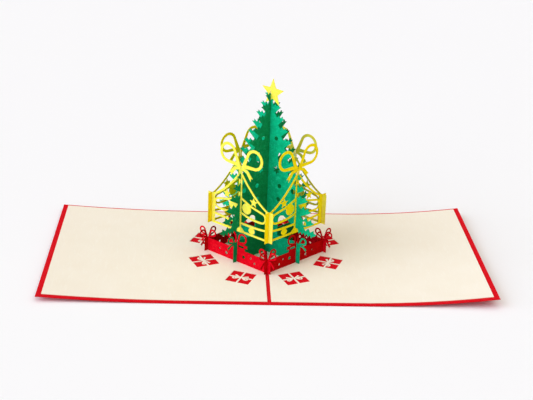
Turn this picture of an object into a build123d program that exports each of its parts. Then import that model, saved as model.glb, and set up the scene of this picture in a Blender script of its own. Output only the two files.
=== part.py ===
from build123d import *
import os
from math import acos, atan2, cos, degrees, pi, radians, sin

# A square greeting card lying open, with a Christmas tree that stands on its fold.
# The tree is a sliceform: flat laser-cut sheets that slot into each other, about 45 degrees to the fold.
# Millimetres, +Z up. The origin is the fold's middle, on the table.
# X runs across the fold, Y along it. Heights in the pop-up are measured from the liners.

# Card
panel_w = 150.0  # one panel from the fold to its edge, along the sheet
card_d = 150.0  # along the fold
cover_t = 0.4
liner_t = 0.3
glue_t = 0.05  # between a liner and the cover
margin = 3.5  # red border round each liner
back_margin = 2.0  # the liners sit nearer to the back edge
fold_strip = 2.6  # red strip left bare at the fold
flat_w = 55.0  # each panel lies flat this far from the fold
left_rise = 3.5  # from there it springs up to this at its edge
right_rise = 6.5
score_w = 0.8  # crease pressed in the cover
score_depth = 0.15

# Pop-up sheets
popup_y = 6.0  # the tree's axis, along the fold
cross_turn = 42.0  # from X to a sheet: below 45 the opened card has pulled the pop-up wider than deep
base_pitch = 27.4  # from the axis to a base wall, along a tree sheet
garland_pitch = 25.8  # and to the garland walls above them
sheet_t = 0.35
slot_clear = 0.1
lap_clear = 0.1  # where two slots meet end to end
tab_clear = 0.3  # in a liner's slit
curve_step = 2.75  # the cut curves are drawn with chords of about this length

# Gifts cut in the liners
gift_size = 16.6
gift_ring_r = 46.6  # from the tree's axis to a gift's middle
gift_ribbon = 1.1
gift_loop_r = 1.75
gift_eye_r = 0.65
gift_loop_out = 4.1  # a loop's middle, sideways from the crossing
gift_loop_down = 1.5  # and away from the tree
gift_tail_out = 5.0  # a tail's end, sideways
gift_tail_up = 1.7  # and towards the tree
gift_tail_w = 1.4

# Base walls
base_h = 9.7
base_end = 2.8  # past the crossing with the next wall
base_lap_h = 4.9
shoulder_half = 8.4  # the wall rises here to carry its middle bow
shoulder_top_half = 6.7
shoulder_h = 12.2
base_knot_h = 13.4
tail_half = 9.4
tail_h = 14.0
tail_w = 1.9
slit_len = 4.8  # between the bow's tails and the wall
slit_w = 1.5
slit_u = 3.6
base_loop_r = 3.8
base_loop_out = 4.7
base_loop_up = 4.9
base_band = 1.25
corner_knot_h = 9.5
corner_loop_r = 2.75
corner_loop_out = 4.9
corner_loop_up = 4.6
corner_band = 1.1
corner_tail_out = 6.2
corner_tail_drop = 4.6
corner_tail_w = 1.5
base_dots = [(-16, 3.4, 1.6), (-12.5, 6.2, 1.3), (-6.2, 5.2, 2.4), (9.6, 3.5, 2.2),
             (16, 5, 1.4)]  # along the wall, height, diameter

# Garland walls
garland_low = 21.9
garland_end = 3.4  # past the crossing
garland_band = 3.0  # before the crossing
corner_top = 44.0
garland_corner_lap_h = 33.0
garland_lap_h = 46.7
post_w = 2.8
bar_w = 1.5
foot_half = 6.0
foot_h = 26.2
second_bar_h = 28.9
third_corner_h = 34.2
third_post_h = 36.9
second_swag_corner_h = 41.4
second_swag_post_h = 47.6
main_swag_h = 65.7  # at the post
main_swag_sag = 2.6
swag_sag = 1.0
bauble_d = 7.7
bauble_u = 6.0
bauble_h = 40.8
small_bauble_d = 5.4
small_bauble_u = 11.0
wall_star_r = 3.6
wall_star_inner_r = 1.6
wall_star_u = 12.0
wall_star_h = 47.0
knot_h = 69.0
knot_d = 3.6
bow_loop_r = 7.2
bow_loop_out = 11.6
bow_loop_up = 8.2
bow_band = 2.0
bow_tail_out = 9.6
bow_tail_drop = 6.6
bow_tail_w = 2.9

# Bows: how a loop's eye and a tail's bend and end are drawn, as shares of their own size
eye_start = 0.36  # of the way from the knot to the loop's middle
tail_bend = (0.55, 0.22)
swallow_cut = 0.45
tail_root = 0.6  # width at the knot

# Tree sheets
tree_h = 118.7
branch_count = 13
branch_top_h = 115.2
branch_pitch = 7.5
branch_top_half = 4.9
branch_low_half = 43.6
branch_spread = 1.1  # above 1 the tree widens fastest near its tip
branch_fan = [(-3.1, 0.2), (-2.3, 1.15), (-1.7, 0.3), (-0.75, 1.05), (-0.6, 0.35), (0.25, 0.2),
              (-0.7, -0.5)]  # in spikes
spike_base = 1.6
spike_growth = 0.03  # a wider branch has longer spikes
spike_most = 0.31  # of the half width, near the tip
notch_spikes = 2.1
notch_growth = 0.06
notch_fall = 0.6  # of the way down to the next branch
tree_lap_h = 58.0
trunk_half = 10.3
base_plate_h = 15.2  # top of the plate that stands between the base walls
arch_h = 31.5  # top of the opening beside the trunk
arch_r = 5.0
hem_h = 24.4  # lower edge of the branches
hem_teeth = 5
hem_tooth = 2.2
hem_slant = 0.6  # where a tooth's tip stands in its step
ribbon_w = 3.2  # green ribbon outside a base wall
half_loop_r = 2.7
half_loop_out = 4.2
half_loop_up = 3.6
half_band = 1.2
half_knot_h = 14.0
half_tail_out = 7.0
half_tail_drop = 2.6
half_tail_w = 1.6
tab_inset = 0.4
tree_holes = [(6, 85.7, 3.0), (19, 63, 3.0), (10.4, 52.2, 3.3), (9.9, 42.2, 3.3), (22.4, 51.5, 3.8),
              (33.4, 31.2, 3.1)]  # from the axis, height, diameter
moon_u = 9.2
moon_h = 72.6
moon_r = 3.7
moon_out = 2.9
moon_in = -1.2
hole_star_u = 7.4
hole_star_h = 63.2
hole_star_r = 3.4
hole_star_inner_r = 1.7

# Star on the tip
star_r = 9.7
star_inner_r = 4.2
star_h = 117.2
star_shift = 1.8  # towards the front right, so that it shows past the tip

liner_low = cover_t + glue_t
liner_top = liner_low + liner_t
cross_sin = sin(radians(2 * cross_turn))
cross_cos = cos(radians(2 * cross_turn))
slot_w = (sheet_t + slot_clear + sheet_t * abs(cross_cos)) / cross_sin  # wider for a slanting sheet
bow_run = panel_w - flat_w
ribbon_in = base_pitch + slot_w / 2
ribbon_out = ribbon_in + ribbon_w
ribbon_mid = (ribbon_in + ribbon_out) / 2
tab_in = ribbon_in + tab_inset
tab_out = ribbon_out - tab_inset
tab_low = cover_t - liner_top  # a tab goes through the liner to the cover
over_all = tree_h + star_r  # higher than any sheet, for slots open at the top

os.makedirs("parts", exist_ok=True)


# Half of a card sheet's section: flat by the fold, then an arc that springs up to the edge
def card_section(rise, inner, outer, low, high):
    bow_radius = bow_run**2 / (2 * rise)
    turn = (outer - flat_w) / bow_radius

    def on_bow(angle, level):
        radius = bow_radius - level
        return (flat_w + radius * sin(angle), bow_radius - radius * cos(angle))

    with BuildLine() as outline:
        Line((inner, low), on_bow(0, low))
        ThreePointArc(on_bow(0, low), on_bow(turn / 2, low), on_bow(turn, low))
        Line(on_bow(turn, low), on_bow(turn, high))
        ThreePointArc(on_bow(turn, high), on_bow(turn / 2, high), on_bow(0, high))
        Line(on_bow(0, high), (inner, high))
        Line((inner, high), (inner, low))
    make_face(outline.edges())


# Upright plane under a pop-up sheet where it crosses one that runs from the axis: x along it, y up, z across
def sheet_plane(turn, toward, out):
    along = Vector(1, 0, 0).rotate(Axis.Z, turn)
    across = along.cross(Vector(0, 0, 1))
    crossing = Vector(0, popup_y, liner_top) + Vector(out, 0, 0).rotate(Axis.Z, toward)
    return Plane(crossing - across * (sheet_t / 2), x_dir=along, z_dir=across)


def arc_points(centre, radius, start, sweep):
    steps = max(4, round(radians(abs(sweep)) * radius / curve_step))
    turns = [start + sweep * i / steps for i in range(steps + 1)]
    return [centre + Vector(radius, 0).rotate(Axis.Z, turn) for turn in turns]


# Shallow curve through three points
def curve_points(start, middle, end):
    steps = max(2, round((end - start).length / (3 * curve_step)))
    shares = [i / steps for i in range(steps + 1)]
    return [start * (1 - t) * (1 - 2 * t) + middle * 4 * t * (1 - t) + end * t * (2 * t - 1) for t in shares]


def disc(radius, mode=Mode.ADD):
    RegularPolygon(radius, max(6, round(2 * pi * radius / curve_step)), mode=mode)


# Part of a ring, as a bent strip
def ring(centre, radius, width, start, sweep):
    outside = arc_points(centre, radius + width / 2, start, sweep)
    inside = arc_points(centre, radius - width / 2, start, sweep)
    Polygon(*outside, *reversed(inside), align=None)


# Round at the far end and pointed at the tip, as a loop of ribbon lies
def drop(tip, centre, radius, mode=Mode.ADD):
    reach = tip - centre
    turn = degrees(acos(radius / reach.length))
    toward = degrees(atan2(reach.Y, reach.X))
    Polygon(tip, *arc_points(centre, radius, toward + turn, 360 - 2 * turn), align=None, mode=mode)


# Loop of a bow with its eye: the band thins towards the knot
def bow_loop(knot, centre, radius, band):
    drop(knot, centre, radius)
    drop(knot + (centre - knot) * eye_start, centre, radius - band, mode=Mode.SUBTRACT)


# Curved strip from one width to another, whose end can have a swallow-tail cut
def strip(start, middle, end, width, end_width, cut=0):
    across = (end - start).normalized().rotate(Axis.Z, 90)
    line = curve_points(start, middle, end)
    widths = [width + (end_width - width) * i / (len(line) - 1) for i in range(len(line))]
    left = [p + across * (w / 2) for p, w in zip(line, widths)]
    right = [p - across * (w / 2) for p, w in zip(line, widths)]
    notch = end - (end - middle).normalized() * end_width * cut
    Polygon(*left, notch, *reversed(right), align=None)


# Tail of a bow, from the knot out and down
def bow_tail(knot, out, fall, width):
    bend = knot + Vector(out * tail_bend[0], -fall * tail_bend[1])
    strip(knot, bend, knot + Vector(out, -fall), width * tail_root, width, swallow_cut)


# Hanging strip between two points
def swag(start, end, sag, width):
    strip(start, (start + end) / 2 - Vector(0, sag), end, width, width)


def star_points(count, outer, inner):
    radii = [outer, inner] * count
    turns = [radians(90 + 180 / count * i) for i in range(2 * count)]
    return [(r * cos(a), r * sin(a)) for r, a in zip(radii, turns)]


# Slot for a sheet that crosses here, between two heights
def slot(u, low, high):
    with Locations((u, (low + high) / 2)):
        Rectangle(slot_w, high - low, mode=Mode.SUBTRACT)


def slot_up(u, lap_h):
    slot(u, lap_h - lap_clear / 2, over_all)


def slot_down(u, lap_h):
    slot(u, -over_all, lap_h + lap_clear / 2)


def base_wall_outline():
    with Locations((0, base_h / 2)):
        Rectangle(2 * (base_pitch + base_end), base_h)
    Polygon((-shoulder_half, 0), (shoulder_half, 0), (shoulder_top_half, shoulder_h),
            (-shoulder_top_half, shoulder_h), align=None)
    knot = Vector(0, base_knot_h)
    for side in (-1, 1):
        tip = Vector(side * tail_half, tail_h)
        cut = tip - Vector(side * tail_w * swallow_cut, tail_w / 2)
        Polygon((0, shoulder_h - tail_w / 4), tip - Vector(0, tail_w), cut, tip, (0, tail_h + tail_w / 3),
                align=None)
        bow_loop(knot, knot + Vector(side * base_loop_out, base_loop_up), base_loop_r, base_band)
        with Locations((side * slit_u, shoulder_h)):
            Rectangle(slit_len, slit_w, mode=Mode.SUBTRACT)
        corner = Vector(side * base_pitch, corner_knot_h)
        for turn in (-1, 1):
            loop_middle = corner + Vector(turn * corner_loop_out, corner_loop_up)
            bow_loop(corner, loop_middle, corner_loop_r, corner_band)
        bow_tail(corner, side * corner_tail_out, corner_tail_drop, corner_tail_w)
    for u, height, size in base_dots:
        with Locations((u, height)):
            disc(size / 2, mode=Mode.SUBTRACT)
    slot_up(0, base_lap_h)


def garland_outline():
    knot = Vector(0, knot_h)
    with Locations((0, (garland_low + knot_h) / 2)):
        Rectangle(post_w, knot_h - garland_low)
    Polygon((-foot_half, garland_low), (foot_half, garland_low), (post_w / 2, foot_h), (-post_w / 2, foot_h),
            align=None)
    with Locations((0, garland_low + bar_w / 2)):
        Rectangle(2 * garland_pitch, bar_w)
    with Locations(knot):
        disc(knot_d / 2)
    corner_u = garland_pitch + (garland_end - garland_band) / 2
    swag_u = garland_pitch - garland_band / 2
    round_end_r = (second_swag_corner_h - third_corner_h) / 2
    round_end_u = garland_pitch - garland_band - round_end_r
    for side in (-1, 1):
        with Locations((side * corner_u, (garland_low + corner_top) / 2)):
            Rectangle(garland_band + garland_end, corner_top - garland_low)
        corner = Vector(side * swag_u, corner_top - bar_w / 2)
        round_low = Vector(side * round_end_u, third_corner_h)
        round_top = Vector(side * round_end_u, second_swag_corner_h)
        swag(Vector(0, second_bar_h), Vector(side * swag_u, second_bar_h + bar_w / 2), swag_sag / 2, bar_w)
        swag(Vector(0, third_post_h), round_low, swag_sag, bar_w)
        swag(Vector(0, second_swag_post_h), round_top, swag_sag, bar_w)
        swag(Vector(0, main_swag_h), corner, main_swag_sag, bar_w)
        ring((round_low + round_top) / 2, round_end_r, bar_w, 90, -side * 180)
        with Locations((side * bauble_u, bauble_h)):
            disc(bauble_d / 2)
        with Locations((side * small_bauble_u, (garland_low + second_bar_h + bar_w) / 2)):
            disc(small_bauble_d / 2)
        with Locations((side * wall_star_u, wall_star_h)):
            Polygon(*star_points(5, wall_star_r, wall_star_inner_r), align=None)
        bow_tail(knot, side * bow_tail_out, bow_tail_drop, bow_tail_w)
        bow_loop(knot, knot + Vector(side * bow_loop_out, bow_loop_up), bow_loop_r, bow_band)
    slot_up(0, garland_lap_h)


# Outline points of the branches on one side, from the tip down to the lowest branch
def branch_points():
    points = [(0, tree_h)]
    for i in range(branch_count):
        fall = i / (branch_count - 1)
        half = branch_low_half - (branch_low_half - branch_top_half) * (1 - fall) ** branch_spread
        height = branch_top_h - branch_pitch * i
        spike = min(spike_base + spike_growth * half, spike_most * half)
        for out, up in branch_fan:
            points.append((half + out * spike, height + up * spike))
        if i < branch_count - 1:
            notch = half - notch_spikes * spike - notch_growth * half
            points.append((notch, height - notch_fall * branch_pitch))
    return points


# Jagged lower edge of the branches, from the outside in
def hem_points():
    start = branch_low_half - hem_tooth
    step = (start - garland_pitch - hem_tooth) / hem_teeth
    points = []
    for i in range(hem_teeth):
        points.append((start - step * i, hem_h))
        points.append((start - step * (i + hem_slant), hem_h - hem_tooth))
    points.append((garland_pitch + hem_tooth, hem_h + hem_tooth / 2))
    points.append((garland_pitch - hem_tooth, hem_h + hem_tooth))
    return points


def tree_outline():
    arch = arc_points(Vector(trunk_half + arch_r, arch_h - arch_r), arch_r, 90, 90)
    Polygon(*branch_points(), *hem_points(), *arch, (trunk_half, base_plate_h), (ribbon_in, base_plate_h),
            (ribbon_out, half_knot_h), (ribbon_out, 0), (tab_out, 0), (tab_out, tab_low), (tab_in, tab_low),
            (tab_in, 0), (0, 0), align=None)
    half_knot = Vector(ribbon_mid, half_knot_h)
    bow_loop(half_knot, half_knot + Vector(half_loop_out, half_loop_up), half_loop_r, half_band)
    bow_tail(half_knot, half_tail_out, half_tail_drop, half_tail_w)
    for u, height, size in tree_holes:
        with Locations((u, height)):
            disc(size / 2, mode=Mode.SUBTRACT)
    moon_top = Vector(moon_u, moon_h + moon_r)
    moon_low = Vector(moon_u, moon_h - moon_r)
    moon_outside = curve_points(moon_top, Vector(moon_u + moon_out, moon_h), moon_low)
    moon_inside = curve_points(moon_low, Vector(moon_u + moon_in, moon_h), moon_top)
    Polygon(*moon_outside, *moon_inside[1:-1], align=None, mode=Mode.SUBTRACT)
    with Locations((hole_star_u, hole_star_h)):
        Polygon(*star_points(6, hole_star_r, hole_star_inner_r), align=None, mode=Mode.SUBTRACT)
    mirror(about=Plane.YZ)
    for side in (-1, 1):
        slot_down(side * base_pitch, base_lap_h)
        slot(side * garland_pitch, base_plate_h + lap_clear, garland_lap_h + lap_clear / 2)


# Cover: one sheet across both panels, with its crease pressed in from above
with BuildPart() as cover:
    with BuildSketch(Plane.XZ.offset(-card_d / 2)):
        card_section(left_rise, 0, panel_w, 0, cover_t)
        mirror(about=Plane.YZ, mode=Mode.REPLACE)
        card_section(right_rise, 0, panel_w, 0, cover_t)
        Polygon((-score_w / 2, cover_t), (0, cover_t - score_depth), (score_w / 2, cover_t), align=None,
                mode=Mode.SUBTRACT)
    extrude(amount=card_d)
cover.part.label = "cover"
export_step(cover.part, "parts/cover.step")

# One gift as it is cut through a liner: x points away from the tree
with BuildSketch() as gift:
    Rectangle(gift_size, gift_size)
    Rectangle(gift_size, gift_ribbon, mode=Mode.SUBTRACT)
    Rectangle(gift_ribbon, gift_size, mode=Mode.SUBTRACT)
    for side in (-1, 1):
        loop_middle = Vector(gift_loop_down, side * gift_loop_out)
        drop(Vector(0, 0), loop_middle, gift_loop_r, mode=Mode.SUBTRACT)
        tail_end = Vector(-gift_tail_up, side * gift_tail_out)
        Polygon((0, 0), tail_end, tail_end - Vector(gift_tail_w, side * gift_tail_w / 2), align=None,
                mode=Mode.SUBTRACT)
        with Locations(loop_middle):
            disc(gift_eye_r)

# Liners: glued on the panels, with the gifts cut out and slits for the tree's tabs
for name, side, rise in (("liner_left", -1, left_rise), ("liner_right", 1, right_rise)):
    with BuildPart() as liner:
        with BuildSketch(Plane.XZ.offset(back_margin - card_d / 2)):
            card_section(rise, fold_strip / 2, panel_w - margin, liner_low, liner_top)
        extrude(amount=card_d - margin - back_margin)
        if side < 0:
            mirror(about=Plane.YZ, mode=Mode.REPLACE)
        first_gift = 90 - side * 90 - 67.5
        with BuildSketch(Plane((0, popup_y, liner_low))):
            with PolarLocations(gift_ring_r, 4, first_gift, 135, endpoint=True):
                add(gift.sketch)
            with PolarLocations(ribbon_mid, 2, 90 - side * 90 - cross_turn, 2 * cross_turn, endpoint=True):
                Rectangle(ribbon_w - 2 * tab_inset + tab_clear, sheet_t + tab_clear)
        extrude(amount=liner_t, mode=Mode.SUBTRACT)
    liner.part.label = name
    export_step(liner.part, f"parts/{name}.step")

# Tree sheets: the first is slit from below, the second from above, and they cross on the axis
for name, turn in (("tree_sheet_a", cross_turn), ("tree_sheet_b", 180 - cross_turn)):
    with BuildPart() as tree:
        with BuildSketch(sheet_plane(turn, 0, 0)):
            tree_outline()
            if name == "tree_sheet_a":
                slot_down(0, tree_lap_h)
            else:
                slot_up(0, tree_lap_h)
        extrude(amount=sheet_t)
    tree.part.label = name
    export_step(tree.part, f"parts/{name}.step")

# Star: lies on the second tree sheet's front, slit from below for the first sheet's tip
with BuildPart() as tree_star:
    with BuildSketch(sheet_plane(180 - cross_turn, 180 + cross_turn, (sheet_t + slot_clear) / cross_sin)):
        with Locations((-star_shift, star_h)):
            Polygon(*star_points(5, star_r, star_inner_r), align=None)
        slot_down(0, tree_h)
    extrude(amount=sheet_t)
tree_star.part.label = "tree_star"
export_step(tree_star.part, "parts/tree_star.step")

# Walls: at the corners one pair is slit from below and the other pair from above
for name, turn, toward in (("front_left", 180 - cross_turn, 180 + cross_turn),
                           ("back_right", 180 - cross_turn, cross_turn),
                           ("front_right", cross_turn, -cross_turn),
                           ("back_left", cross_turn, 180 - cross_turn)):
    corner_slot = slot_down if turn > 90 else slot_up
    with BuildPart() as base_wall:
        with BuildSketch(sheet_plane(turn, toward, base_pitch)):
            base_wall_outline()
            corner_slot(base_pitch, base_lap_h)
            corner_slot(-base_pitch, base_lap_h)
        extrude(amount=sheet_t)
    base_wall.part.label = f"base_wall_{name}"
    export_step(base_wall.part, f"parts/base_wall_{name}.step")

    with BuildPart() as garland:
        with BuildSketch(sheet_plane(turn, toward, garland_pitch)):
            garland_outline()
            corner_slot(garland_pitch, garland_corner_lap_h)
            corner_slot(-garland_pitch, garland_corner_lap_h)
        extrude(amount=sheet_t)
    garland.part.label = f"garland_{name}"
    export_step(garland.part, f"parts/garland_{name}.step")
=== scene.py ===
import math
import bmesh
import bpy
from mathutils import Matrix, Vector


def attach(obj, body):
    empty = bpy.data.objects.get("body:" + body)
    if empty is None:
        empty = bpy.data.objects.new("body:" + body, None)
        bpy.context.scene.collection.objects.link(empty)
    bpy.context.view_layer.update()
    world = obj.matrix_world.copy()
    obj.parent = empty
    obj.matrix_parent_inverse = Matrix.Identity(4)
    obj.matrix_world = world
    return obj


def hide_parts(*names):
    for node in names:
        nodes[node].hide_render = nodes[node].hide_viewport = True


# Pop-up card: finely cut sheets, paper finishes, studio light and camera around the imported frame.
# Metres, Z up, X across the fold, Y along it.

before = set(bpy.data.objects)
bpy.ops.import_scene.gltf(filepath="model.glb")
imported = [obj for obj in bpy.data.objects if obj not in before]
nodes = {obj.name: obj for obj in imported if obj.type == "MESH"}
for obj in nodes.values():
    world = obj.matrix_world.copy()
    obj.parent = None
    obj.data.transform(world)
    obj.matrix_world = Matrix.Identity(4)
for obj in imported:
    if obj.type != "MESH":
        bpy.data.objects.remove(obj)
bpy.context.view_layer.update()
print("frame loaded:", len(nodes), "sheets")


def addObject(name, data):
    thing = bpy.data.objects.new(name, data)
    bpy.context.scene.collection.objects.link(thing)
    return thing


def addNode(tree, kind, place, inputs=None, **settings):
    # an input is a value or the socket that feeds it
    node = tree.nodes.new(kind)
    node.location = place
    for name, value in settings.items():
        setattr(node, name, value)
    for name, value in (inputs or {}).items():
        if isinstance(value, bpy.types.NodeSocket):
            tree.links.new(value, node.inputs[name])
        else:
            node.inputs[name].default_value = value
    return node


def mixColour(tree, place, share, first, second):
    # a Mix node has its colours at inputs 6 and 7 and at output 2
    inputs = {0: share, 6: first, 7: second}
    return addNode(tree, "ShaderNodeMix", place, inputs, data_type="RGBA").outputs[2]


def startGroup(name, inputs, outputs):
    tree = bpy.data.node_groups.new(name, "ShaderNodeTree")
    for socketName, kind, value in inputs:
        socket = tree.interface.new_socket(socketName, in_out="INPUT", socket_type=kind)
        socket.default_value = value
    for socketName in outputs:
        tree.interface.new_socket(socketName, in_out="OUTPUT", socket_type="NodeSocketFloat")
    entry = addNode(tree, "NodeGroupInput", (-900, 0))
    leave = addNode(tree, "NodeGroupOutput", (700, 0))
    return tree, entry.outputs, leave.inputs


def placeGroup(tree, group, place, inputs):
    return addNode(tree, "ShaderNodeGroup", place, inputs, node_tree=group).outputs


# Effects that the papers share
fibreLays = ((0.3, 0.2, 0.5), (1.1, 0.7, 2.2), (0.4, 1.9, 3.6))  # radians
fibreStretch = (1.0, 0.16, 1.0)


def makePaperGrain():
    # long fibres, fine tooth and slow clouds of pulp, all by real size
    tree, given, out = startGroup(
        "paperGrain",
        [("Fibres per metre", "NodeSocketFloat", 700.0), ("Tooth per metre", "NodeSocketFloat", 3200.0),
         ("Clouds per metre", "NodeSocketFloat", 90.0)],
        ["Fibre", "Tooth", "Cloud"])
    where = addNode(tree, "ShaderNodeTexCoord", (-900, 300)).outputs["Object"]
    fibres = []
    for i, lay in enumerate(fibreLays):
        row = 400 - 260 * i
        laid = addNode(tree, "ShaderNodeMapping", (-700, row),
                       {"Vector": where, "Rotation": lay, "Scale": fibreStretch})
        strand = addNode(tree, "ShaderNodeTexNoise", (-500, row),
                         {"Vector": laid.outputs["Vector"], "Scale": given["Fibres per metre"],
                          "Detail": 1.5, "Roughness": 0.5, "Distortion": 0.8})
        thin = addNode(tree, "ShaderNodeMapRange", (-300, row),
                       {"Value": strand.outputs["Fac"], "From Min": 0.60, "From Max": 0.74}, clamp=True)
        fibres.append(thin.outputs["Result"])
    pair = addNode(tree, "ShaderNodeMath", (-100, 300), {0: fibres[0], 1: fibres[1]},
                   operation="MAXIMUM")
    every = addNode(tree, "ShaderNodeMath", (60, 200), {0: pair.outputs[0], 1: fibres[2]},
                    operation="MAXIMUM")
    tooth = addNode(tree, "ShaderNodeTexNoise", (-300, -420),
                    {"Vector": where, "Scale": given["Tooth per metre"], "Detail": 3.0,
                     "Roughness": 0.62})
    cloud = addNode(tree, "ShaderNodeTexNoise", (-300, -700),
                    {"Vector": where, "Scale": given["Clouds per metre"], "Detail": 2.5,
                     "Roughness": 0.55})
    tree.links.new(every.outputs[0], out["Fibre"])
    tree.links.new(tooth.outputs["Fac"], out["Tooth"])
    tree.links.new(cloud.outputs["Fac"], out["Cloud"])
    return tree


def makeCutEdge():
    # 1 on the narrow faces that the laser cut, 0 on the sheet's two sides
    tree, given, out = startGroup("cutEdge", [("Across", "NodeSocketVector", (0.0, 0.0, 1.0))], ["Edge"])
    facing = addNode(tree, "ShaderNodeNewGeometry", (-700, 0)).outputs["True Normal"]
    along = addNode(tree, "ShaderNodeVectorMath", (-500, 0), {0: facing, 1: given["Across"]},
                    operation="DOT_PRODUCT")
    size = addNode(tree, "ShaderNodeMath", (-300, 0), {0: along.outputs["Value"]}, operation="ABSOLUTE")
    edge = addNode(tree, "ShaderNodeMapRange", (-100, 0),
                   {"Value": size.outputs[0], "From Min": 0.9, "From Max": 0.5}, clamp=True)
    tree.links.new(edge.outputs["Result"], out["Edge"])
    return tree


def makeFoldWear():
    # cracked fibres along the card's fold, fading to both sides
    tree, given, out = startGroup("foldWear", [("Half Width", "NodeSocketFloat", 0.0006)], ["Wear"])
    where = addNode(tree, "ShaderNodeTexCoord", (-900, 0)).outputs["Object"]
    parts = addNode(tree, "ShaderNodeSeparateXYZ", (-700, 0), {"Vector": where})
    away = addNode(tree, "ShaderNodeMath", (-540, 0), {0: parts.outputs["X"]}, operation="ABSOLUTE")
    close = addNode(tree, "ShaderNodeMapRange", (-360, 0),
                    {"Value": away.outputs[0], "From Min": given["Half Width"], "From Max": 0.0},
                    clamp=True)
    flecks = addNode(tree, "ShaderNodeTexNoise", (-540, -220),
                     {"Vector": where, "Scale": 900.0, "Detail": 3.0, "Roughness": 0.7})
    broken = addNode(tree, "ShaderNodeMapRange", (-360, -220),
                     {"Value": flecks.outputs["Fac"], "From Min": 0.42, "From Max": 0.68}, clamp=True)
    wear = addNode(tree, "ShaderNodeMath", (-160, 0),
                   {0: close.outputs["Result"], 1: broken.outputs["Result"]}, operation="MULTIPLY")
    tree.links.new(wear.outputs[0], out["Wear"])
    return tree


paperGrain = makePaperGrain()
cutEdge = makeCutEdge()
foldWear = makeFoldWear()
print("shared effects made")

# How deep a paper's relief is at full strength, and where its noise mostly lies
reliefDepth = {"wave": 0.002, "nap": 0.00003, "tooth": 0.00008}
noiseLow, noiseHigh = 0.3, 0.7


def makePaper(name, look, across):
    material = bpy.data.materials.new(name)
    material.use_nodes = True
    tree = material.node_tree
    tree.nodes.clear()
    grain = placeGroup(tree, paperGrain, (-1100, 0),
                       {"Fibres per metre": look["fibres"], "Tooth per metre": look["tooth"],
                        "Clouds per metre": look["clouds"]})
    edge = placeGroup(tree, cutEdge, (-1100, -300), {"Across": across})
    patch = addNode(tree, "ShaderNodeMapRange", (-900, 200),
                    {"Value": grain["Cloud"], "From Min": noiseLow, "From Max": noiseHigh,
                     "To Max": look["cloudShare"]}, clamp=True)
    ground = mixColour(tree, (-700, 200), patch.outputs["Result"], look["colour"], look["deepColour"])
    strand = addNode(tree, "ShaderNodeMath", (-900, -20), {0: grain["Fibre"], 1: look["fibreShare"]},
                     operation="MULTIPLY")
    fibred = mixColour(tree, (-500, 200), strand.outputs[0], ground, look["fibreColour"])
    colour = mixColour(tree, (-300, 200), edge["Edge"], fibred, look["edgeColour"])
    if "foldColour" in look:
        worn = placeGroup(tree, foldWear, (-700, 480), {"Half Width": look["foldHalf"]})
        colour = mixColour(tree, (-120, 320), worn["Wear"], colour, look["foldColour"])
    rough = addNode(tree, "ShaderNodeMapRange", (-300, -60),
                    {"Value": grain["Tooth"], "From Min": noiseLow, "From Max": noiseHigh,
                     "To Min": look["roughLow"], "To Max": look["roughHigh"]}, clamp=True)
    wave = addNode(tree, "ShaderNodeBump", (-300, -320),
                   {"Height": grain["Cloud"], "Strength": look["wave"], "Distance": reliefDepth["wave"]})
    nap = addNode(tree, "ShaderNodeBump", (-120, -320),
                  {"Height": grain["Fibre"], "Strength": look["nap"], "Distance": reliefDepth["nap"],
                   "Normal": wave.outputs["Normal"]})
    bump = addNode(tree, "ShaderNodeBump", (60, -320),
                   {"Height": grain["Tooth"], "Strength": look["bump"], "Distance": reliefDepth["tooth"],
                    "Normal": nap.outputs["Normal"]})
    shader = addNode(tree, "ShaderNodeBsdfPrincipled", (260, 200),
                     {"Base Color": colour, "Roughness": rough.outputs["Result"],
                      "Normal": bump.outputs["Normal"], "Specular IOR Level": look["specular"]})
    if "pass" in look:  # light that comes through thin paper
        shader.inputs["Subsurface Weight"].default_value = look["pass"]
        shader.inputs["Subsurface Radius"].default_value = look["passReach"]
        shader.inputs["Subsurface Scale"].default_value = look["passScale"]
    leave = addNode(tree, "ShaderNodeOutputMaterial", (560, 200), {"Surface": shader.outputs["BSDF"]})
    leave.is_active_output = True
    return material


def dress(nodeName, material):
    mesh = nodes[nodeName].data
    mesh.materials.clear()
    mesh.materials.append(material)


# The direction across a sheet tells its cut edges from its two sides.
# The card lies flat, and the pop-up's sheets stand along two directions.
sheetTurn = math.radians(42.0)
acrossCard = (0.0, 0.0, 1.0)
acrossA = Vector((math.sin(sheetTurn), -math.cos(sheetTurn), 0.0))
acrossB = Vector((math.sin(sheetTurn), math.cos(sheetTurn), 0.0))

# Cover: red card, its fold cracked a little
coverLook = {
    "colour": (0.70, 0.006, 0.014, 1), "deepColour": (0.62, 0.004, 0.010, 1), "cloudShare": 0.6,
    "fibreColour": (0.78, 0.03, 0.04, 1), "fibreShare": 0.35, "edgeColour": (0.55, 0.008, 0.012, 1),
    "foldColour": (0.80, 0.05, 0.06, 1), "foldHalf": 0.0004,
    "fibres": 620.0, "tooth": 2400.0, "clouds": 70.0,
    "roughLow": 0.55, "roughHigh": 0.75, "wave": 0.05, "nap": 0.5, "bump": 0.35, "specular": 0.02,
}
dress("cover", makePaper("coverRed", coverLook, acrossCard))

# Liners: cream paper with a soft tooth
linerLook = {
    "colour": (0.94, 0.857, 0.722, 1), "deepColour": (0.92, 0.828, 0.682, 1), "cloudShare": 0.8,
    "fibreColour": (0.97, 0.905, 0.78, 1), "fibreShare": 0.4, "edgeColour": (0.80, 0.68, 0.50, 1),
    "fibres": 560.0, "tooth": 2800.0, "clouds": 45.0,
    "roughLow": 0.6, "roughHigh": 0.82, "wave": 0.05, "nap": 0.5, "bump": 0.3, "specular": 0.04,
}
linerCream = makePaper("linerCream", linerLook, acrossCard)
for nodeName in ("liner_left", "liner_right"):
    dress(nodeName, linerCream)
print("cover and liners dressed")

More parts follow.
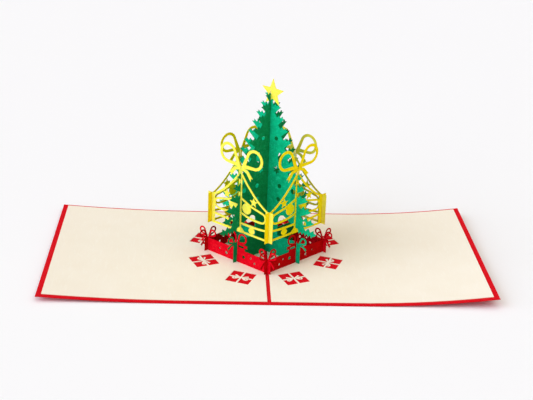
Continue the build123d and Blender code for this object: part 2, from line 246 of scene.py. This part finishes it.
# Each standing sheet is cut again along its packed outline, with the chords of its bows, baubles,
# swags and holes drawn as fine arcs. A chord's end lies on a curve where the outline turns by fewer
# degrees than the most, and where the chords or turns beside it differ by no more than the likeness.
cutLook = {"fineStep": 7.0, "arcMost": 66.0, "arcLikeness": 0.04, "swagMost": 16.0, "swagLikeness": 0.4,
           "leafMost": 80.0, "leafCorners": 4}
sideFacing = 0.9  # least cosine between a side's faces and the direction across
spotDigits = 7
weldReach = 1e-6


def sideLoops(mesh, along, across):
    # the outlines on one side of a sheet, as places along it and up it
    edges = set()
    for face in mesh.polygons:
        if face.normal.dot(across) > sideFacing:
            corners = [mesh.vertices[i].co for i in face.vertices]
            spots = [(round(corner.dot(along), spotDigits), round(corner.z, spotDigits))
                     for corner in corners]
            for first, second in zip(spots, spots[1:] + spots[:1]):
                if (second, first) in edges:
                    edges.remove((second, first))
                else:
                    edges.add((first, second))
    following = dict(edges)
    loops = []
    while following:
        start = min(following)
        loop = [start]
        spot = following.pop(start)
        while spot != start:
            loop.append(spot)
            spot = following.pop(spot)
        loops.append(loop)
    return loops


def alike(first, second, share):
    return abs(first - second) <= share * max(abs(first), abs(second))


def fineLoop(spots, look):
    count = len(spots)
    chords = [Vector(spots[(i + 1) % count]) - Vector(spots[i]) for i in range(count)]
    lengths = [chord.length for chord in chords]
    headings = [math.atan2(chord.y, chord.x) for chord in chords]
    turns = [math.degrees(math.remainder(headings[i] - headings[i - 1], math.tau)) for i in range(count)]
    even = [alike(lengths[i - 1], lengths[i], look["arcLikeness"]) for i in range(count)]
    bends = []  # the turn at each point that lies on a curve, and None at a corner
    for i, turn in enumerate(turns):
        onArc = abs(turn) < look["arcMost"] and even[i] and any(
            even[j] and alike(turn, turns[j], look["arcLikeness"]) for j in (i - 1, (i + 1) % count))
        onSwag = (abs(turn) < look["swagMost"]
                  and alike(lengths[i - 1], lengths[i], look["swagLikeness"]))
        onLeaf = abs(turn) < look["leafMost"] and even[i] and count == look["leafCorners"]
        bends.append(turn if onArc or onSwag or onLeaf else None)
    fine = []
    for i, spot in enumerate(spots):
        fine.append(spot)
        ends = [bend for bend in (bends[i], bends[(i + 1) % count]) if bend is not None]
        if not ends or min(ends) * max(ends) < 0:
            continue
        bend = math.radians(sum(ends) / len(ends))
        steps = math.ceil(abs(bend) / math.radians(look["fineStep"]))
        for k in range(1, steps):
            part = bend * k / steps
            reach = lengths[i] * math.sin(part / 2) / math.sin(bend / 2)
            aim = headings[i] + (part - bend) / 2
            fine.append((spot[0] + reach * math.cos(aim), spot[1] + reach * math.sin(aim)))
    return fine


def cutSheet(nodeName, material, across):
    packed = nodes[nodeName].data
    up = Vector((0.0, 0.0, 1.0))
    along = up.cross(across)
    depths = [vertex.co.dot(across) for vertex in packed.vertices]
    near, far = min(depths), max(depths)
    drawing = bpy.data.curves.new(nodeName + "_drawing", "CURVE")
    drawing.dimensions = "2D"
    drawing.fill_mode = "BOTH"
    drawing.extrude = (far - near) / 2
    for loop in sideLoops(packed, along, across):
        fine = fineLoop(loop, cutLook)
        spline = drawing.splines.new("POLY")
        spline.points.add(len(fine) - 1)
        spline.points.foreach_set("co", [value for u, v in fine for value in (u, v, 0.0, 1.0)])
        spline.use_cyclic_u = True
    stencil = bpy.data.objects.new(nodeName + "_drawing", drawing)
    mesh = bpy.data.meshes.new_from_object(stencil)
    bpy.data.objects.remove(stencil)
    bpy.data.curves.remove(drawing)
    mesh.name = nodeName + "_cut"
    stand = Matrix((along, up, across)).transposed().to_4x4()
    mesh.transform(Matrix.Translation(across * (near + far) / 2) @ stand)
    work = bmesh.new()
    work.from_mesh(mesh)
    bmesh.ops.remove_doubles(work, verts=work.verts, dist=weldReach)  # join the sides to the cut edges
    bmesh.ops.recalc_face_normals(work, faces=work.faces)
    work.to_mesh(mesh)
    work.free()
    mesh.materials.clear()
    mesh.materials.append(material)
    piece = addObject(nodeName + "_cut", mesh)
    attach(piece, "root")
    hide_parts(nodeName)


# Tree: green paper, the second sheet painted cooler and brighter than the first: painted light on the
# sheet that faces the key, painted shade on the one that faces away
treeLook = {
    "colour": (0.004, 0.285, 0.090, 1), "deepColour": (0.003, 0.177, 0.051, 1), "cloudShare": 0.75,
    "fibreColour": (0.02, 0.372, 0.137, 1), "fibreShare": 0.6, "edgeColour": (0.003, 0.19, 0.07, 1),
    "fibres": 700.0, "tooth": 3200.0, "clouds": 260.0,
    "roughLow": 0.62, "roughHigh": 0.85, "wave": 0.06, "nap": 0.6, "bump": 0.4, "specular": 0.02,
}
# painted light: a brighter, cooler copy of the green for the second sheet, whose seen side faces the key
paintedLitGreen = {"colour": (0.003, 0.515, 0.232, 1), "deepColour": (0.002, 0.32, 0.135, 1),
             "fibreColour": (0.016, 0.66, 0.345, 1)}
cutSheet("tree_sheet_a", makePaper("treeGreenA", treeLook, acrossA), acrossA)
cutSheet("tree_sheet_b", makePaper("treeGreenB", {**treeLook, **paintedLitGreen}, acrossB), acrossB)
print("tree sheets cut")

# Base walls: red paper, painted deeper on those that run as the first tree sheet does, as painted shade
# on the walls that face away from the key
baseLook = {
    "colour": (0.80, 0.001, 0.013, 1), "deepColour": (0.54, 0.001, 0.006, 1), "cloudShare": 0.7,
    "fibreColour": (0.90, 0.02, 0.035, 1), "fibreShare": 0.55, "edgeColour": (0.42, 0.001, 0.004, 1),
    "fibres": 700.0, "tooth": 3200.0, "clouds": 260.0,
    "roughLow": 0.6, "roughHigh": 0.82, "wave": 0.06, "nap": 0.6, "bump": 0.4, "specular": 0.02,
}
# painted shade: a darker copy of the red for the walls that face away from the key
paintedShadeRed = {"colour": (0.53, 0.001, 0.002, 1), "deepColour": (0.35, 0.001, 0.001, 1),
           "fibreColour": (0.63, 0.01, 0.011, 1)}
baseRedA = makePaper("baseRedA", {**baseLook, **paintedShadeRed}, acrossA)
baseRedB = makePaper("baseRedB", baseLook, acrossB)

# Garlands and star: thin yellow paper, painted more golden on those that run as the first tree sheet
# does, as painted shade on the walls that face away from the key
garlandLook = {
    "colour": (0.945, 0.825, 0.094, 1), "deepColour": (0.935, 0.775, 0.06, 1), "cloudShare": 0.6,
    "fibreColour": (0.96, 0.87, 0.17, 1), "fibreShare": 0.35, "edgeColour": (0.90, 0.66, 0.02, 1),
    "fibres": 760.0, "tooth": 3200.0, "clouds": 120.0,
    "roughLow": 0.6, "roughHigh": 0.82, "wave": 0.06, "nap": 0.6, "bump": 0.4, "specular": 0.012,
    "pass": 0.5, "passReach": (1.0, 0.75, 0.05), "passScale": 0.0005,
}
# painted shade: a deeper golden copy of the yellow for the walls that face away from the key
paintedShadeYellow = {"colour": (1.0, 0.765, 0.005, 1), "deepColour": (1.0, 0.72, 0.003, 1),
                "fibreColour": (1.0, 0.81, 0.02, 1)}
garlandYellowA = makePaper("garlandYellowA", {**garlandLook, **paintedShadeYellow}, acrossA)
garlandYellowB = makePaper("garlandYellowB", garlandLook, acrossB)

# walls that run as the first tree sheet does take the painted-shade red and yellow
for side, red, yellow, across in (("front_left", baseRedB, garlandYellowB, acrossB),
                                  ("front_right", baseRedA, garlandYellowA, acrossA),
                                  ("back_left", baseRedA, garlandYellowA, acrossA),
                                  ("back_right", baseRedB, garlandYellowB, acrossB)):
    cutSheet("base_wall_" + side, red, across)
    cutSheet("garland_" + side, yellow, across)
dress("tree_star", garlandYellowB)
print("walls and garlands cut, star dressed")

# Studio: pale floor, a wide soft box overhead, a broad soft key from the left and a weak fill from
# the right. A lamp's spread, height and turn are in degrees, its turn from the left to the front.
floorLook = {"colour": (0.95, 0.935, 0.94, 1), "half": 4.0, "height": -0.0001, "rough": 0.9,
             "specular": 0.1}
skyLook = {"colour": (1.05, 1.01, 0.935, 1), "low": 0.05, "high": 1.06, "from": 0.35, "to": 0.9,
           "shownColour": (0.955, 0.947, 0.953, 1), "shownStrength": 1.0}
lampLooks = {
    "softKey": {"colour": (0.85, 0.97, 1.2), "strength": 2.8, "spread": 68.0, "height": 16.0,
                "turn": 27.0},
    "weakFill": {"colour": (1.0, 0.98, 0.92), "strength": 0.76, "spread": 100.0, "height": 20.0,
                 "turn": 132.0},
}


def makeFloor(look):
    half, height = look["half"], look["height"]  # the height is just under the card
    corners = [(-half, -half, height), (half, -half, height), (half, half, height), (-half, half, height)]
    mesh = bpy.data.meshes.new("floor")
    mesh.from_pydata(corners, [], [(0, 1, 2, 3)])
    floor = addObject("floor", mesh)
    material = bpy.data.materials.new("paleFloor")
    material.use_nodes = True
    shader = material.node_tree.nodes["Principled BSDF"]
    shader.inputs["Base Color"].default_value = look["colour"]
    shader.inputs["Roughness"].default_value = look["rough"]
    shader.inputs["Specular IOR Level"].default_value = look["specular"]
    mesh.materials.append(material)


def makeSky(look):
    # the camera, gloss and glass see a plain pale sky, and the papers get their light from above
    world = bpy.data.worlds.new("studioSky")
    bpy.context.scene.world = world
    world.use_nodes = True
    tree = world.node_tree
    tree.nodes.clear()
    path = addNode(tree, "ShaderNodeLightPath", (-700, 0)).outputs
    seen = addNode(tree, "ShaderNodeMath", (-500, 0),
                   {0: path["Is Camera Ray"], 1: path["Is Glossy Ray"]}, operation="MAXIMUM")
    also = addNode(tree, "ShaderNodeMath", (-340, 0),
                   {0: seen.outputs[0], 1: path["Is Transmission Ray"]}, operation="MAXIMUM")
    where = addNode(tree, "ShaderNodeTexCoord", (-700, -260)).outputs["Generated"]
    height = addNode(tree, "ShaderNodeSeparateXYZ", (-500, -260), {"Vector": where}).outputs["Z"]
    above = addNode(tree, "ShaderNodeMapRange", (-340, -260),
                    {"Value": height, "From Min": look["from"], "From Max": look["to"],
                     "To Min": look["low"], "To Max": look["high"]}, interpolation_type="SMOOTHSTEP")
    strength = addNode(tree, "ShaderNodeMapRange", (-160, 0),
                       {"Value": also.outputs[0], "To Min": above.outputs["Result"],
                        "To Max": look["shownStrength"]})
    tint = mixColour(tree, (-160, 240), also.outputs[0], look["colour"], look["shownColour"])
    sky = addNode(tree, "ShaderNodeBackground", (40, 0),
                  {"Color": tint, "Strength": strength.outputs["Result"]})
    addNode(tree, "ShaderNodeOutputWorld", (240, 0), {"Surface": sky.outputs["Background"]})


def makeLamp(name, look):
    light = bpy.data.lights.new(name, "SUN")
    light.color = look["colour"]
    light.energy = look["strength"]
    light.angle = math.radians(look["spread"])
    lamp = addObject(name, light)
    turn, height = math.radians(look["turn"]), math.radians(look["height"])
    toLamp = Vector((-math.cos(height) * math.cos(turn), -math.cos(height) * math.sin(turn),
                     math.sin(height)))
    lamp.rotation_mode = "QUATERNION"
    lamp.rotation_quaternion = toLamp.to_track_quat("Z", "Y")


makeFloor(floorLook)
makeSky(skyLook)
for lampName, lampLook in lampLooks.items():
    makeLamp(lampName, lampLook)
print("studio lit")

# Camera: where the photograph was taken from, its angles in degrees
cameraLook = {"place": (-0.0381, -0.7398, 0.3514), "pitch": 22.67, "yaw": 2.89, "roll": 2.21,
              "focalPixels": 1164.1, "imageWidth": 533.0, "sensorWidth": 36.0,
              "clipNear": 0.01, "clipFar": 50.0}


def makeCamera(look):
    pitch, yaw, roll = (math.radians(look[name]) for name in ("pitch", "yaw", "roll"))
    ahead = Vector((math.sin(yaw) * math.cos(pitch), math.cos(yaw) * math.cos(pitch), -math.sin(pitch)))
    level = Vector((math.cos(yaw), -math.sin(yaw), 0.0))
    upright = level.cross(ahead)
    right = math.cos(roll) * level + math.sin(roll) * upright
    up = math.cos(roll) * upright - math.sin(roll) * level
    lens = bpy.data.cameras.new("photoCamera")
    lens.sensor_width = look["sensorWidth"]
    lens.lens = look["focalPixels"] / look["imageWidth"] * lens.sensor_width
    lens.clip_start = look["clipNear"]
    lens.clip_end = look["clipFar"]
    camera = addObject("photoCamera", lens)
    camera.matrix_world = Matrix((right, up, -ahead)).transposed().to_4x4()
    camera.location = look["place"]
    bpy.context.scene.camera = camera


makeCamera(cameraLook)
bpy.context.scene.view_settings.view_transform = "Standard"
print("camera placed")
